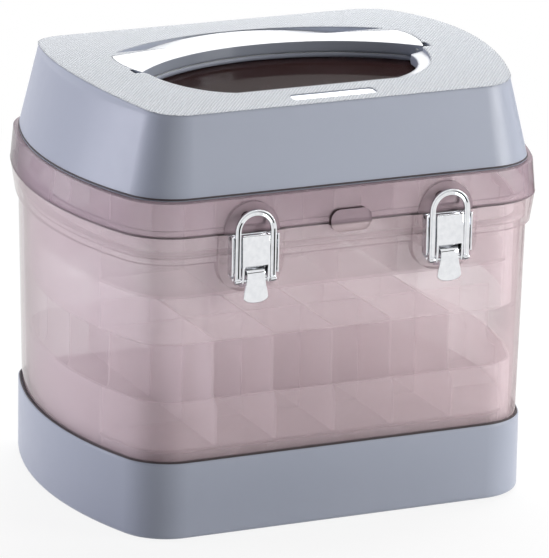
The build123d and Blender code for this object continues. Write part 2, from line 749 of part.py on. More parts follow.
# ---- latches --------------------------------------------------------------
latches = {}
for name, side in sides.items():
    middle = side * latch_x
    plate_top = rim_level - 0.5
    flange_x = latch_plate_width / 2 - plate_sheet / 2

    with BuildPart() as latch_plate:
        with BuildSketch(Plane.XZ.offset(-pad_face)) as sheet:
            with Locations((middle, (latch_plate_foot + plate_top) / 2)):
                Rectangle(latch_plate_width, plate_top - latch_plate_foot)
            fillet(sheet.vertices().group_by(Axis.Y)[0], radius=9.0)
        extrude(amount=plate_sheet)
        with BuildSketch(Plane.XZ.offset(-pad_face)):
            with Locations((middle - flange_x, (flange_foot + plate_top) / 2),
                           (middle + flange_x, (flange_foot + plate_top) / 2)):
                Rectangle(plate_sheet, plate_top - flange_foot)
        extrude(amount=flange_depth)
        start = (middle - latch_plate_width, lever_pivot_y, lever_pivot_z)
        end = (middle + latch_plate_width, lever_pivot_y, lever_pivot_z)
        add(bar(start, end, latch_pin_radius), mode=Mode.SUBTRACT)
        for level in rivet_levels:
            start = (middle, pad_face - 2, level)
            end = (middle, pad_face + 1, level)
            add(bar(start, end, rivet_radius), mode=Mode.SUBTRACT)
    latches["latch_plate_" + name] = latch_plate

    with BuildPart() as rivets:
        for level in rivet_levels:
            face = pad_face - plate_sheet
            add(bar((middle, pad_face + 5, level), (middle, face, level), rivet_radius))
            add(bar((middle, face, level), (middle, face - rivet_head_height, level), rivet_head))
    latches["latch_rivets_" + name] = rivets

    with BuildPart() as lever_pin:
        start = (middle - latch_plate_width / 2, lever_pivot_y, lever_pivot_z)
        end = (middle + latch_plate_width / 2, lever_pivot_y, lever_pivot_z)
        add(bar(start, end, latch_pin_radius))
    latches["lever_pin_" + name] = lever_pin

    with BuildPart() as latch_lever:
        plate_foot = lever_pivot_z - lever_plate_drop
        with BuildSketch(Plane.XZ.offset(-lever_front)):
            with Locations((middle, (lever_pivot_z + plate_foot) / 2)):
                Rectangle(lever_width, lever_pivot_z - plate_foot)
        extrude(amount=-lever_sheet)
        with BuildSketch(Plane.XZ.offset(-lever_front)) as tab:
            with BuildLine():
                Polyline(
                    (middle - tab_width / 2, plate_foot + 1),
                    (middle + tab_width / 2, plate_foot + 1),
                    (middle + tab_end_width / 2, tab_end_level + 5),
                    (middle + tab_end_width / 3, tab_end_level),
                    (middle - tab_end_width / 3, tab_end_level),
                    (middle - tab_end_width / 2, tab_end_level + 5),
                    close=True,
                )
            make_face()
            fillet(tab.vertices().group_by(Axis.Y)[0], radius=2.5)
        extrude(amount=-lever_sheet)
        for hand in (-1, 1):
            cheek = middle + hand * (lever_width / 2 - lever_sheet / 2) - lever_sheet / 2
            with BuildSketch(Plane.YZ.offset(cheek)):
                with Locations((lever_pivot_y, lever_pivot_z)):
                    Circle(latch_pin_radius + ear_rim)
                with Locations((loop_pivot_y, loop_pivot_level)):
                    Circle(latch_pin_radius + ear_rim)
                with BuildLine():
                    Polyline(
                        (lever_front, lever_pivot_z),
                        (lever_pivot_y + latch_pin_radius + ear_rim, lever_pivot_z),
                        (loop_pivot_y + latch_pin_radius + ear_rim, loop_pivot_level),
                        (lever_front, loop_pivot_level),
                        close=True,
                    )
                make_face()
            extrude(amount=lever_sheet)
        for y, z in ((lever_pivot_y, lever_pivot_z), (loop_pivot_y, loop_pivot_level)):
            grow = running if z > loop_pivot_level else 0.0
            start = (middle - lever_width, y, z)
            end = (middle + lever_width, y, z)
            add(bar(start, end, latch_pin_radius + grow), mode=Mode.SUBTRACT)
    latches["latch_lever_" + name] = latch_lever

    with BuildPart() as loop_pin:
        start = (middle - loop_width / 2, loop_pivot_y, loop_pivot_level)
        end = (middle + loop_width / 2, loop_pivot_y, loop_pivot_level)
        add(bar(start, end, latch_pin_radius))
    latches["loop_pin_" + name] = loop_pin

    with BuildPart() as latch_loop:
        arc_level = loop_top_level - loop_width / 2
        leg = loop_width / 2 - loop_bar / 2
        with BuildSketch(Plane.XZ.offset(-loop_front)):
            with Locations((middle, arc_level)):
                Circle(loop_width / 2)
            with Locations((middle, loop_pivot_level)):
                Rectangle(loop_width, arc_level - loop_pivot_level, align=(Align.CENTER, Align.MIN))
            with Locations((middle, arc_level)):
                Circle(loop_width / 2 - loop_bar, mode=Mode.SUBTRACT)
            with Locations((middle, loop_pivot_level - loop_width)):
                Rectangle(
                    loop_width - 2 * loop_bar,
                    arc_level - loop_pivot_level + loop_width,
                    align=(Align.CENTER, Align.MIN),
                    mode=Mode.SUBTRACT,
                )
        extrude(amount=-loop_thickness)
        for hand in (-1, 1):
            with BuildSketch(Plane.YZ.offset(middle + hand * leg - loop_bar / 2)):
                with Locations((loop_pivot_y, loop_pivot_level)):
                    Circle(latch_pin_radius + ear_rim)
            extrude(amount=loop_bar)
        start = (middle - loop_width, loop_pivot_y, loop_pivot_level)
        end = (middle + loop_width, loop_pivot_y, loop_pivot_level)
        add(bar(start, end, latch_pin_radius + running), mode=Mode.SUBTRACT)
    latches["latch_loop_" + name] = latch_loop

# ---- hinge pins -----------------------------------------------------------
hinge_pins = {}
pin_half = outer_knuckle_shift + knuckle_outer / 2
for name, side in sides.items():
    with BuildPart() as hinge_pin:
        start = (side * hinge_x - pin_half, hinge_y, hinge_z)
        end = (side * hinge_x + pin_half, hinge_y, hinge_z)
        add(bar(start, end, hinge_pin_radius))
    hinge_pins["hinge_pin_" + name] = hinge_pin

# ---- files ----------------------------------------------------------------
pieces = {
    "base_shell": base_shell,
    "base_screws": base_screws,
    "body_shell": body_shell,
    "lid_shell": lid_shell,
    "lid_cover": lid_cover,
    "cover_screws": cover_screws,
    "name_plate": name_plate,
    "handle": handle,
    "lower_tray": lower_tray,
    "upper_tray": upper_tray,
    **feet,
    **dividers,
    **handle_pins,
    **latches,
    **hinge_pins,
}

os.makedirs("parts", exist_ok=True)
for name, piece in pieces.items():
    piece.part.label = name
    export_step(piece.part, f"parts/{name}.step")
print(len(pieces), "nodes")
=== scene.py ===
import json
import math

import bmesh
import bpy
from mathutils import Matrix, Vector

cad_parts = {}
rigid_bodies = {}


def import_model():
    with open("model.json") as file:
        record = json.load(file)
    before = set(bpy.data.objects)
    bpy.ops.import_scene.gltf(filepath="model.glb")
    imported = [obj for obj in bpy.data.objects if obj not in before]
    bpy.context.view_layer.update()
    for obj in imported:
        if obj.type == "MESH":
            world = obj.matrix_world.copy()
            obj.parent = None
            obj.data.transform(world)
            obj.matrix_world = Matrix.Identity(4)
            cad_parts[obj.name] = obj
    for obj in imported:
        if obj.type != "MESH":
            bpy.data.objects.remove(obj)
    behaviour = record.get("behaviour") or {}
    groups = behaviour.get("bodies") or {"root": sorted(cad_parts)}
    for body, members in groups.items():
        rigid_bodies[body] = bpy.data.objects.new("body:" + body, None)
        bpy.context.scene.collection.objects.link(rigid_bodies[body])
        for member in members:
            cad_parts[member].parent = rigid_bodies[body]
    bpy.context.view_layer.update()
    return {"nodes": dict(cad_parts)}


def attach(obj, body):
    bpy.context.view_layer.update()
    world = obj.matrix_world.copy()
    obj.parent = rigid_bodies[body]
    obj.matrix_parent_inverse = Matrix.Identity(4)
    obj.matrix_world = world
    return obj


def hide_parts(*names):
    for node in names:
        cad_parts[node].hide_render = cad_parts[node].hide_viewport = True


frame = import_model()
nodes = frame["nodes"]
scene = bpy.context.scene
scene.view_settings.view_transform = "Standard"
scene.cycles.transparent_max_bounces = 32

view = {"yaw": 0.42426, "pitch": 0.29486, "roll": 0.01852, "distance": 2724.96, "side": 3.338,
        "height": 106.08, "focal": 5081.69, "tall": 558.0}
stage = {"ambient": 0.12, "paperGlow": 0.88, "glowFrom": 0.2, "glowFull": 0.7, "floorSize": 60.0}
lamps = {"overhead": {"place": (0.6, 0.6, 1.4), "size": (1.3, 0.9), "power": 34.0, "tint": "FFFFFF"},
         "leftKey": {"place": (-1.6, 0.75, 0.45), "size": (0.8, 1.1), "power": 20.0, "tint": "F1F1FF"},
         "rightFill": {"place": (1.55, -1.42, 0.5), "size": (0.8, 1.1), "power": 31.0, "tint": "FFFFFF"}}
cards = {"cardLeft": {"place": (-0.44, -0.355, 0.17), "size": (0.39, 0.34), "turn": (90, 0, -57)},
         "cardRight": {"place": (0.5, 0.22, 0.15), "size": (0.34, 0.3), "turn": (90, 0, 65)},
         "cardBelow": {"place": (0.06, -0.2, 0.002), "size": (0.5, 0.16), "turn": (0, 0, 0)},
         "cardFront": {"place": (0.45, -1.15, 0.62), "size": (0.8, 0.24), "turn": (70, 0, 20)}}


def linear(code):
    values = []
    for start in (0, 2, 4):
        part = int(code[start:start + 2], 16) / 255
        values.append(part / 12.92 if part <= 0.04045 else ((part + 0.055) / 1.055) ** 2.4)
    return (*values, 1.0)


def fillInputs(tree, node, inputs):
    for name, value in inputs.items():
        if isinstance(value, bpy.types.NodeSocket):
            tree.links.new(value, node.inputs[name])
        else:
            node.inputs[name].default_value = value


def addNode(tree, kind, inputs=None, **settings):
    node = tree.nodes.new(kind)
    for name, value in settings.items():
        setattr(node, name, value)
    fillInputs(tree, node, inputs or {})
    return node


def startMaterial(name):
    material = bpy.data.materials.new(name)
    material.use_nodes = True
    tree = material.node_tree
    return material, tree, tree.nodes["Principled BSDF"], addNode(tree, "ShaderNodeTexCoord")


def aimCamera(v):
    forward = Vector((math.sin(v["yaw"]) * math.cos(v["pitch"]), math.cos(v["yaw"]) * math.cos(v["pitch"]),
                      -math.sin(v["pitch"])))
    level = Vector((math.cos(v["yaw"]), -math.sin(v["yaw"]), 0.0))
    up = level.cross(forward)
    right = math.cos(v["roll"]) * level + math.sin(v["roll"]) * up
    tilted = -math.sin(v["roll"]) * level + math.cos(v["roll"]) * up
    target = Vector((v["side"] * right.x, v["side"] * right.y, v["height"])) / 1000
    place = target - forward * v["distance"] / 1000
    bpy.ops.object.camera_add()
    camera = bpy.context.object
    camera.data.sensor_width = 36.0
    camera.data.lens = v["focal"] * 36.0 / v["tall"]
    camera.data.clip_end = 50.0
    turn = Matrix((right, tilted, -forward)).transposed().to_4x4()
    camera.matrix_world = Matrix.Translation(place) @ turn
    scene.camera = camera


# every lamp looks at the middle of the case
def softLight(name, box):
    turn = (Vector((0.0, 0.0, 0.1)) - Vector(box["place"])).to_track_quat("-Z", "Y").to_euler()
    bpy.ops.object.light_add(type="AREA", location=box["place"], rotation=turn)
    lamp = bpy.context.object
    lamp.name = name
    lamp.data.shape = "RECTANGLE"
    lamp.data.size, lamp.data.size_y = box["size"]
    lamp.data.energy = box["power"]
    lamp.data.color = linear(box["tint"])[:3]


# white paper that stays white to the camera and in reflections, and keeps a faint shadow near the case
def whitePaper():
    material, tree, shader, coord = startMaterial("whitePaper")
    fillInputs(tree, shader, {"Base Color": linear("EAEAEA"), "Roughness": 0.9})
    path = addNode(tree, "ShaderNodeLightPath")
    seen = addNode(tree, "ShaderNodeMath", {0: path.outputs["Is Camera Ray"], 1: path.outputs["Is Glossy Ray"]},
                   operation="MAXIMUM")
    away = addNode(tree, "ShaderNodeVectorMath", {0: coord.outputs["Object"]}, operation="LENGTH")
    sweep = addNode(tree, "ShaderNodeMapRange", {"Value": away.outputs["Value"], "From Min": stage["glowFrom"],
                                                 "From Max": stage["glowFull"],
                                                 "To Min": stage["paperGlow"]})
    share = addNode(tree, "ShaderNodeMath", {0: seen.outputs[0], 1: sweep.outputs[0]}, operation="MULTIPLY")
    glow = addNode(tree, "ShaderNodeEmission", {"Color": (1, 1, 1, 1), "Strength": 1.0})
    mix = addNode(tree, "ShaderNodeMixShader", {0: share.outputs[0], 1: shader.outputs[0], 2: glow.outputs[0]})
    tree.links.new(mix.outputs[0], tree.nodes["Material Output"].inputs["Surface"])
    return material


# matt black felt; its cards show only in reflections, where they draw the dark edges of the chrome
def blackFelt():
    material, tree, shader, coord = startMaterial("blackFelt")
    fillInputs(tree, shader, {"Base Color": linear("060607"), "Roughness": 1.0, "Specular IOR Level": 0.0})
    return material


def blackCard(name, sheet, felt):
    bpy.ops.mesh.primitive_plane_add(size=1.0, location=sheet["place"],
                                     rotation=[math.radians(angle) for angle in sheet["turn"]])
    card = bpy.context.object
    card.name = name
    card.scale = (*sheet["size"], 1.0)
    card.visible_camera = False
    card.visible_diffuse = False
    card.visible_shadow = False
    card.data.materials.append(felt)


def buildStage():
    world = bpy.data.worlds.new("studio")
    scene.world = world
    world.use_nodes = True
    tree = world.node_tree
    tree.nodes.clear()
    path = addNode(tree, "ShaderNodeLightPath")
    seen = addNode(tree, "ShaderNodeMath", {0: path.outputs["Is Camera Ray"], 1: path.outputs["Is Glossy Ray"]},
                   operation="MAXIMUM")
    white = addNode(tree, "ShaderNodeMath", {0: seen.outputs[0], 1: path.outputs["Is Transmission Ray"]},
                    operation="MAXIMUM")
    strength = addNode(tree, "ShaderNodeMapRange", {"Value": white.outputs[0], "To Min": stage["ambient"]})
    glow = addNode(tree, "ShaderNodeBackground", {"Color": (1, 1, 1, 1), "Strength": strength.outputs[0]})
    end = addNode(tree, "ShaderNodeOutputWorld")
    tree.links.new(glow.outputs[0], end.inputs["Surface"])
    bpy.ops.mesh.primitive_plane_add(size=stage["floorSize"])
    floor = bpy.context.object
    floor.name = "floor"
    floor.data.materials.append(whitePaper())
    for name, box in lamps.items():
        softLight(name, box)
    felt = blackFelt()
    for name, sheet in cards.items():
        blackCard(name, sheet, felt)


# moulded ABS with a spark-eroded skin: satin grey, an even grain about 1 mm across; its edges are rounded in
# the shading only, so the mesh keeps them crisp
greyAbs = {"one": "A0A6B5", "other": "A7ACBA", "grain": 900.0, "softEdge": 0.0024, "smooth": 0.33,
           "rough": 0.43}


def sparkGrain(tree, coord):
    soft = addNode(tree, "ShaderNodeBevel", {"Radius": greyAbs["softEdge"]}, samples=6)
    grain = addNode(tree, "ShaderNodeTexNoise", {"Vector": coord.outputs["Object"],
                                                 "Scale": greyAbs["grain"], "Detail": 2.0})
    return addNode(tree, "ShaderNodeBump", {"Height": grain.outputs["Fac"], "Distance": 0.00002,
                                            "Strength": 0.5, "Normal": soft.outputs[0]})


def mouldedAbs():
    material, tree, shader, coord = startMaterial("mouldedAbs")
    cloud = addNode(tree, "ShaderNodeTexNoise", {"Vector": coord.outputs["Object"], "Scale": 9.0})
    rub = addNode(tree, "ShaderNodeTexNoise", {"Vector": coord.outputs["Object"], "Scale": 140.0})
    colour = addNode(tree, "ShaderNodeMix", {"Factor": cloud.outputs["Fac"], "A": linear(greyAbs["one"]),
                                             "B": linear(greyAbs["other"])}, data_type="RGBA")
    rough = addNode(tree, "ShaderNodeMapRange", {"Value": rub.outputs["Fac"], "To Min": greyAbs["smooth"],
                                                 "To Max": greyAbs["rough"]})
    fillInputs(tree, shader, {"Base Color": colour.outputs["Result"], "Roughness": rough.outputs[0],
                              "Normal": sparkGrain(tree, coord).outputs[0]})
    return material


# the same ABS on the cover: its domed top has slanting rows of beads 1 mm apart in the mould, drawn 1.5 mm
# apart so that they show; the bead crowns are painted light and the valleys between them painted dark, a
# painted highlight and painted shade of their relief that also makes the top lighter than the sides; the band
# that sinks towards the window is polished, and painted near white as a painted reflection on its gloss
crown = {"top": 0.2317, "fall": -0.602, "perMetre": 660.0, "slant": 38, "rise": 0.0005, "valleyShade": "A2A6AE",
         "beadAndHighlight": "C8CCD0", "polished": "E4E6E9"}


def beadedAbs():
    material, tree, shader, coord = startMaterial("beadedAbs")
    cloud = addNode(tree, "ShaderNodeTexNoise", {"Vector": coord.outputs["Object"], "Scale": 9.0})
    rub = addNode(tree, "ShaderNodeTexNoise", {"Vector": coord.outputs["Object"], "Scale": 140.0})
    spot = addNode(tree, "ShaderNodeSeparateXYZ", {"Vector": coord.outputs["Object"]})
    facing = addNode(tree, "ShaderNodeSeparateXYZ", {"Vector": coord.outputs["Normal"]})
    square = addNode(tree, "ShaderNodeMath", {0: spot.outputs["Y"], 1: spot.outputs["Y"]}, operation="MULTIPLY")
    dome = addNode(tree, "ShaderNodeMath", {0: square.outputs[0], 1: crown["fall"], 2: crown["top"]},
                   operation="MULTIPLY_ADD")
    sunk = addNode(tree, "ShaderNodeMath", {0: dome.outputs[0], 1: spot.outputs["Z"]}, operation="SUBTRACT")
    flat = addNode(tree, "ShaderNodeMapRange", {"Value": facing.outputs["Z"], "From Min": 0.9,
                                                "From Max": 0.96})
    # the sunken band round the window: polished, and also where the painted reflection goes
    polishedSheenBand = addNode(tree, "ShaderNodeMapRange", {"Value": sunk.outputs[0], "From Min": 0.0003,
                                                "From Max": 0.0006, "To Max": flat.outputs[0]})
    plain = addNode(tree, "ShaderNodeMapRange", {"Value": sunk.outputs[0], "From Min": 0.0001,
                                                 "From Max": 0.0003, "To Min": flat.outputs[0], "To Max": 0.0})
    turned = addNode(tree, "ShaderNodeMapping", {"Vector": coord.outputs["Object"],
                                                 "Rotation": (0, 0, math.radians(crown["slant"])),
                                                 "Scale": (1, 1, 0.02)})
    rows = addNode(tree, "ShaderNodeTexVoronoi", {"Vector": turned.outputs[0], "Scale": crown["perMetre"],
                                                  "Randomness": 0.1})
    beadAndHighlight = addNode(tree, "ShaderNodeMapRange", {"Value": rows.outputs["Distance"], "From Min": 0.2,
                                                "From Max": 0.6, "To Min": plain.outputs[0], "To Max": 0.0})
    raised = addNode(tree, "ShaderNodeBump", {"Height": beadAndHighlight.outputs[0], "Distance": crown["rise"],
                                              "Strength": 1.0,
                                              "Normal": sparkGrain(tree, coord).outputs[0]})
    side = addNode(tree, "ShaderNodeMix", {"Factor": cloud.outputs["Fac"], "A": linear(greyAbs["one"]),
                                           "B": linear(greyAbs["other"])}, data_type="RGBA")
    # painted highlight on the bead crowns and painted shade in the valleys
    shadedBeads = addNode(tree, "ShaderNodeMix", {"Factor": beadAndHighlight.outputs[0], "A": linear(crown["valleyShade"]),
                                             "B": linear(crown["beadAndHighlight"])}, data_type="RGBA")
    topped = addNode(tree, "ShaderNodeMix", {"Factor": plain.outputs[0], "A": side.outputs["Result"],
                                             "B": shadedBeads.outputs["Result"]}, data_type="RGBA")
    # painted reflection: the sunken polished band is coloured near white
    colour = addNode(tree, "ShaderNodeMix", {"Factor": polishedSheenBand.outputs[0], "A": topped.outputs["Result"],
                                             "B": linear(crown["polished"])}, data_type="RGBA")
    satin = addNode(tree, "ShaderNodeMapRange", {"Value": rub.outputs["Fac"], "To Min": greyAbs["smooth"],
                                                 "To Max": greyAbs["rough"]})
    rough = addNode(tree, "ShaderNodeMapRange", {"Value": polishedSheenBand.outputs[0], "To Min": satin.outputs[0],
                                                 "To Max": 0.1})
    fillInputs(tree, shader, {"Base Color": colour.outputs["Result"], "Roughness": rough.outputs[0],
                              "Normal": raised.outputs[0]})
    return material


# clear moulded styrene with a smoke tint: milky where it is looked through squarely; brown and dark along its
# edges seen edge on, partly the denser tint of the longer path and partly painted shade for the dark that the
# edges refract; the boss and thumb tab that stand forward are darker and more opaque, partly for their
# thickness and partly as painted shade, darkest on their sides; the lid's window pane is painted dark and
# fairly opaque, a painted shade for the unlit compartments behind it; glossy, with the slow waves of a moulded
# wall; the body has no window pane, so its paneFrom lies far above it
bodySmoke = {"pale": "FBE5EA", "dark": "573A33", "thinnest": 0.1, "densest": 0.92, "paneDensity": 0.68,
             "gloss": 0.5, "thickAndShadeFrom": -0.1010, "paneFrom": 1.0}
lidSmoke = {"pale": "DCC4D0", "dark": "24110C", "thinnest": 0.17, "densest": 0.975, "paneDensity": 0.68,
            "gloss": 0.02, "thickAndShadeFrom": -0.1000, "paneFrom": 0.2196}


def smokyStyrene(name, tint):
    material, tree, shader, coord = startMaterial(name)
    cloud = addNode(tree, "ShaderNodeTexNoise", {"Vector": coord.outputs["Object"], "Scale": 14.0})
    waves = addNode(tree, "ShaderNodeTexNoise", {"Vector": coord.outputs["Object"], "Scale": 35.0})
    rub = addNode(tree, "ShaderNodeTexNoise", {"Vector": coord.outputs["Object"], "Scale": 60.0})
    spot = addNode(tree, "ShaderNodeSeparateXYZ", {"Vector": coord.outputs["Object"]})
    facing = addNode(tree, "ShaderNodeSeparateXYZ", {"Vector": coord.outputs["Normal"]})
    # darker and denser at grazing view: partly the longer path through the tint, partly painted shade for the
    # dark the edges refract
    edge = addNode(tree, "ShaderNodeLayerWeight", {"Blend": 0.5})
    rim = addNode(tree, "ShaderNodeMath", {0: edge.outputs["Facing"], 1: 1.9}, operation="POWER")
    # painted shade: the sides of the forward parts are made darker than their front faces
    squarely = addNode(tree, "ShaderNodeMath", {0: facing.outputs["Y"]}, operation="ABSOLUTE")
    depth = addNode(tree, "ShaderNodeMapRange", {"Value": squarely.outputs[0], "From Min": 0.6,
                                                 "From Max": 0.95, "To Min": 0.95, "To Max": 0.5})
    # boss and thumb tab that stand forward: darker and more opaque, partly for their thickness, partly painted
    # shade
    thick = addNode(tree, "ShaderNodeMapRange", {"Value": spot.outputs["Y"],
                                                 "From Min": tint["thickAndShadeFrom"] - 0.0006,
                                                 "From Max": tint["thickAndShadeFrom"],
                                                 "To Min": depth.outputs[0], "To Max": 0.0})
    # the lid's window pane, painted dark and fairly opaque: painted shade for the unlit compartments behind it
    pane = addNode(tree, "ShaderNodeMapRange", {"Value": spot.outputs["Z"], "From Min": tint["paneFrom"],
                                                "From Max": tint["paneFrom"] + 0.0004})
    heavy = addNode(tree, "ShaderNodeMath", {0: thick.outputs[0], 1: pane.outputs[0]}, operation="MAXIMUM")
    # edges, forward parts and window pane together: the tint with the painted shade that goes with it
    smokeAndShade = addNode(tree, "ShaderNodeMath", {0: rim.outputs[0], 1: heavy.outputs[0]}, operation="MAXIMUM")
    drift = addNode(tree, "ShaderNodeMapRange", {"Value": cloud.outputs["Fac"],
                                                 "To Min": tint["thinnest"] - 0.03,
                                                 "To Max": tint["thinnest"] + 0.03})
    clearer = addNode(tree, "ShaderNodeMapRange", {"Value": pane.outputs[0], "To Min": tint["densest"],
                                                   "To Max": tint["paneDensity"]})
    cover = addNode(tree, "ShaderNodeMapRange", {"Value": smokeAndShade.outputs[0], "To Min": drift.outputs[0],
                                                 "To Max": clearer.outputs[0]})
    colour = addNode(tree, "ShaderNodeMix", {"Factor": smokeAndShade.outputs[0], "A": linear(tint["pale"]),
                                             "B": linear(tint["dark"])}, data_type="RGBA")
    rough = addNode(tree, "ShaderNodeMapRange", {"Value": rub.outputs["Fac"], "To Min": 0.05, "To Max": 0.1})
    bump = addNode(tree, "ShaderNodeBump", {"Height": waves.outputs["Fac"], "Distance": 0.00004,
                                            "Strength": 0.4})
    fillInputs(tree, shader, {"Base Color": colour.outputs["Result"], "Alpha": cover.outputs[0],
                              "Roughness": rough.outputs[0], "Normal": bump.outputs[0], "IOR": 1.5,
                              "Specular IOR Level": tint["gloss"]})
    return material


# frosted polypropylene of the trays: milky and waxy, denser where a wall is seen edge on
def frostedPolypropylene():
    material, tree, shader, coord = startMaterial("frostedPolypropylene")
    cloud = addNode(tree, "ShaderNodeTexNoise", {"Vector": coord.outputs["Object"], "Scale": 20.0})
    skin = addNode(tree, "ShaderNodeTexNoise", {"Vector": coord.outputs["Object"], "Scale": 600.0})
    edge = addNode(tree, "ShaderNodeLayerWeight", {"Blend": 0.4})
    cover = addNode(tree, "ShaderNodeMapRange", {"Value": edge.outputs["Facing"], "To Min": 0.12,
                                                 "To Max": 0.5})
    colour = addNode(tree, "ShaderNodeMix", {"Factor": cloud.outputs["Fac"], "A": linear("FAE9ED"),
                                             "B": linear("FFF4F6")}, data_type="RGBA")
    rough = addNode(tree, "ShaderNodeMapRange", {"Value": skin.outputs["Fac"], "To Min": 0.35, "To Max": 0.5})
    bump = addNode(tree, "ShaderNodeBump", {"Height": skin.outputs["Fac"], "Distance": 0.00002,
                                            "Strength": 0.5})
    fillInputs(tree, shader, {"Base Color": colour.outputs["Result"], "Alpha": cover.outputs[0],
                              "Roughness": rough.outputs[0], "Normal": bump.outputs[0], "IOR": 1.49})
    return material


# polished chrome plate on stamped steel: mirror bright, with faint hairline rubs
def chromePlate():
    material, tree, shader, coord = startMaterial("chromePlate")
    tarnish = addNode(tree, "ShaderNodeTexNoise", {"Vector": coord.outputs["Object"], "Scale": 300.0})
    long = addNode(tree, "ShaderNodeMapping", {"Vector": coord.outputs["Object"], "Scale": (1, 1, 0.08)})
    hair = addNode(tree, "ShaderNodeTexNoise", {"Vector": long.outputs[0], "Scale": 500.0})
    colour = addNode(tree, "ShaderNodeMix", {"Factor": tarnish.outputs["Fac"], "A": linear("DADCE0"),
                                             "B": linear("F2F3F5")}, data_type="RGBA")
    rough = addNode(tree, "ShaderNodeMapRange", {"Value": hair.outputs["Fac"], "To Min": 0.03, "To Max": 0.12})
    bump = addNode(tree, "ShaderNodeBump", {"Height": tarnish.outputs["Fac"], "Distance": 0.00002,
                                            "Strength": 0.4})
    fillInputs(tree, shader, {"Base Color": colour.outputs["Result"], "Metallic": 1.0,
                              "Roughness": rough.outputs[0], "Normal": bump.outputs[0]})
    return material


# zinc-plated steel of pins and screws: grey and lightly turned
def zincSteel():
    material, tree, shader, coord = startMaterial("zincSteel")
    long = addNode(tree, "ShaderNodeMapping", {"Vector": coord.outputs["Object"], "Scale": (0.05, 1, 1)})
    turned = addNode(tree, "ShaderNodeTexNoise", {"Vector": long.outputs[0], "Scale": 700.0})
    colour = addNode(tree, "ShaderNodeMix", {"Factor": turned.outputs["Fac"], "A": linear("9A9C9F"),
                                             "B": linear("B7B9BB")}, data_type="RGBA")
    rough = addNode(tree, "ShaderNodeMapRange", {"Value": turned.outputs["Fac"], "To Min": 0.25,
                                                 "To Max": 0.42})
    bump = addNode(tree, "ShaderNodeBump", {"Height": turned.outputs["Fac"], "Distance": 0.00001,
                                            "Strength": 0.5})
    fillInputs(tree, shader, {"Base Color": colour.outputs["Result"], "Metallic": 1.0,
                              "Roughness": rough.outputs[0], "Normal": bump.outputs[0]})
    return material


# the handle is pearl white on its faces that turn upwards and grey on its steeper faces, the colour chosen by
# the slope of each face: hard gloss, soft clouds in the pearl
def pearlLacquer():
    material, tree, shader, coord = startMaterial("pearlLacquer")
    pearl = addNode(tree, "ShaderNodeTexNoise", {"Vector": coord.outputs["Object"], "Scale": 30.0})
    rub = addNode(tree, "ShaderNodeTexNoise", {"Vector": coord.outputs["Object"], "Scale": 90.0})
    facing = addNode(tree, "ShaderNodeSeparateXYZ", {"Vector": coord.outputs["Normal"]})
    shown = addNode(tree, "ShaderNodeMapRange", {"Value": facing.outputs["Z"], "From Min": 0.72,
                                                 "From Max": 0.84})
    white = addNode(tree, "ShaderNodeMix", {"Factor": pearl.outputs["Fac"], "A": linear("EEF0F3"),
                                            "B": linear("F8F8F9")}, data_type="RGBA")
    colour = addNode(tree, "ShaderNodeMix", {"Factor": shown.outputs[0], "A": linear("9DA3AF"),
                                             "B": white.outputs["Result"]}, data_type="RGBA")
    rough = addNode(tree, "ShaderNodeMapRange", {"Value": rub.outputs["Fac"], "To Min": 0.1, "To Max": 0.2})
    bump = addNode(tree, "ShaderNodeBump", {"Height": pearl.outputs["Fac"], "Distance": 0.00003,
                                            "Strength": 0.4})
    fillInputs(tree, shader, {"Base Color": colour.outputs["Result"], "Roughness": rough.outputs[0],
                              "Normal": bump.outputs[0], "Coat Weight": 0.5, "Coat Roughness": 0.06})
    return material


# satin anodised aluminium, brushed along the plate
def brushedAluminium():
    material, tree, shader, coord = startMaterial("brushedAluminium")
    long = addNode(tree, "ShaderNodeMapping", {"Vector": coord.outputs["Object"], "Scale": (0.02, 1, 1)})
    brush = addNode(tree, "ShaderNodeTexNoise", {"Vector": long.outputs[0], "Scale": 1500.0})
    colour = addNode(tree, "ShaderNodeMix", {"Factor": brush.outputs["Fac"], "A": linear("C9CCD1"),
                                             "B": linear("E2E4E8")}, data_type="RGBA")
    rough = addNode(tree, "ShaderNodeMapRange", {"Value": brush.outputs["Fac"], "To Min": 0.22, "To Max": 0.4})
    bump = addNode(tree, "ShaderNodeBump", {"Height": brush.outputs["Fac"], "Distance": 0.00001,
                                            "Strength": 0.6})
    fillInputs(tree, shader, {"Base Color": colour.outputs["Result"], "Metallic": 1.0,
                              "Roughness": rough.outputs[0], "Normal": bump.outputs[0]})
    return material


# moulded rubber of the feet: nearly black, dull, with a fine bloom; the same near black also colours the
# painted shadow lines along the case
def mouldedRubberAndShadowLine(name, deep, bloom):
    material, tree, shader, coord = startMaterial(name)
    dust = addNode(tree, "ShaderNodeTexNoise", {"Vector": coord.outputs["Object"], "Scale": 80.0})
    skin = addNode(tree, "ShaderNodeTexNoise", {"Vector": coord.outputs["Object"], "Scale": 1300.0})
    colour = addNode(tree, "ShaderNodeMix", {"Factor": dust.outputs["Fac"], "A": linear(deep),
                                             "B": linear(bloom)}, data_type="RGBA")
    rough = addNode(tree, "ShaderNodeMapRange", {"Value": dust.outputs["Fac"], "To Min": 0.5, "To Max": 0.7})
    bump = addNode(tree, "ShaderNodeBump", {"Height": skin.outputs["Fac"], "Distance": 0.00004,
                                            "Strength": 0.6})
    fillInputs(tree, shader, {"Base Color": colour.outputs["Result"], "Roughness": rough.outputs[0],
                              "Normal": bump.outputs[0]})
    return material


def dressNodes(material, *names):
    for name in names:
        data = nodes[name].data
        data.materials.clear()
        data.materials.append(material)


